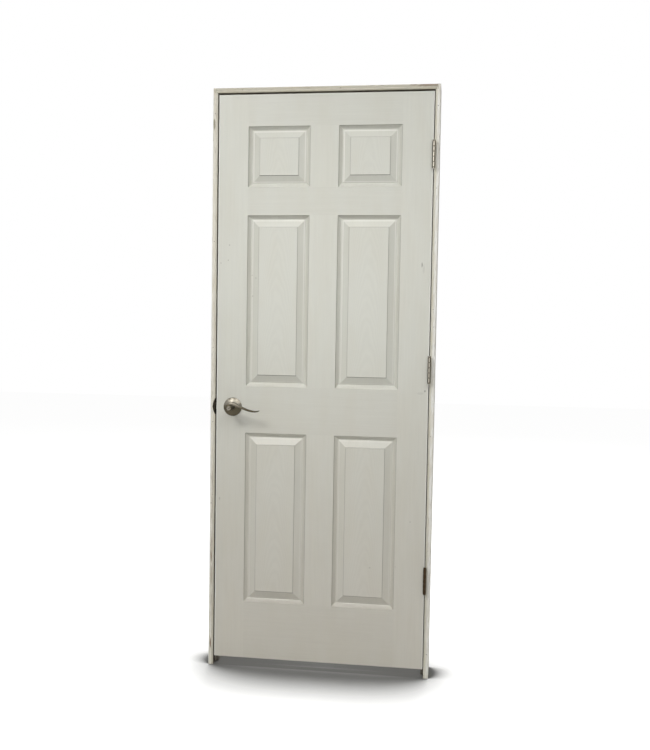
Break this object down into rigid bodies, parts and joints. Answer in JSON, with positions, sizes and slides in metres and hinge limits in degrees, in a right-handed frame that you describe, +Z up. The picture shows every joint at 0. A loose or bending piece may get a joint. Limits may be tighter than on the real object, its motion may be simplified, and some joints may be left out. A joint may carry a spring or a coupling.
{
  "type": "prehung interior door",
  "caption": "Moulded interior door leaf with raised panels, hung in its jamb frame on butt hinges, with a wave lever; closes off a room's doorway.",
  "frame": {"origin": "on the outer face of the hinge jamb, at the feet, in the middle of the jamb's depth", "axes": "+X out of the hinge jamb's outer face, towards the wall on the viewer's right; -Y towards the pull side; +Z up"},
  "size_m": [0.8052, 0.1825, 2.0895],
  "materials": {
    "painted_jamb": "semi-gloss off-white paint, chipped at the edges",
    "painted_stop": "semi-gloss off-white paint",
    "painted_facing": "semi-gloss off-white paint on a pressed facing with a raised grain",
    "edge_wood": "painted softwood edge strips",
    "inner_wood": "bare softwood, hidden",
    "satin_nickel": "satin nickel plate",
    "dark_strike": "tarnished nickel plate",
    "latch_steel": "plated steel"
  },
  "bodies": {
    "frame": {"hinge_jamb": "painted_jamb", "strike_jamb": "painted_jamb", "head_jamb": "painted_jamb", "hinge_side_stop": "painted_stop", "strike_side_stop": "painted_stop", "head_stop": "painted_stop", "strike_plate": "dark_strike", "top_hinge_frame_leaf": "satin_nickel", "middle_hinge_frame_leaf": "satin_nickel", "bottom_hinge_frame_leaf": "satin_nickel", "top_hinge_pin": "satin_nickel", "middle_hinge_pin": "satin_nickel", "bottom_hinge_pin": "satin_nickel"},
    "leaf": {"front_skin": "painted_facing", "back_skin": "painted_facing", "hinge_stile": "edge_wood", "lock_stile": "edge_wood", "top_rail": "edge_wood", "bottom_rail": "edge_wood", "lock_block": "inner_wood", "top_hinge_door_leaf": "satin_nickel", "middle_hinge_door_leaf": "satin_nickel", "bottom_hinge_door_leaf": "satin_nickel", "latch_faceplate": "latch_steel", "latch_case": "latch_steel", "latch_bolt": "latch_steel", "front_rose": "satin_nickel", "back_rose": "satin_nickel"},
    "handle": {"front_lever": "satin_nickel", "back_lever": "satin_nickel", "spindle": "latch_steel", "privacy_button": "satin_nickel"}
  },
  "joints": [
    {"name": "leaf_swing", "type": "hinge", "parent": "frame", "child": "leaf", "pos_m": [-0.0191, -0.071, 0], "axis": [0, 0, 1], "range_deg": [0, 170]},
    {"name": "lever_turn", "type": "hinge", "parent": "leaf", "child": "handle", "pos_m": [-0.7224, -0.0405, 0.953], "axis": [0, 1, 0], "range_deg": [0, 50], "stiffness_Nm_per_rad": 0.6, "springref_deg": -34.38}
  ]
}
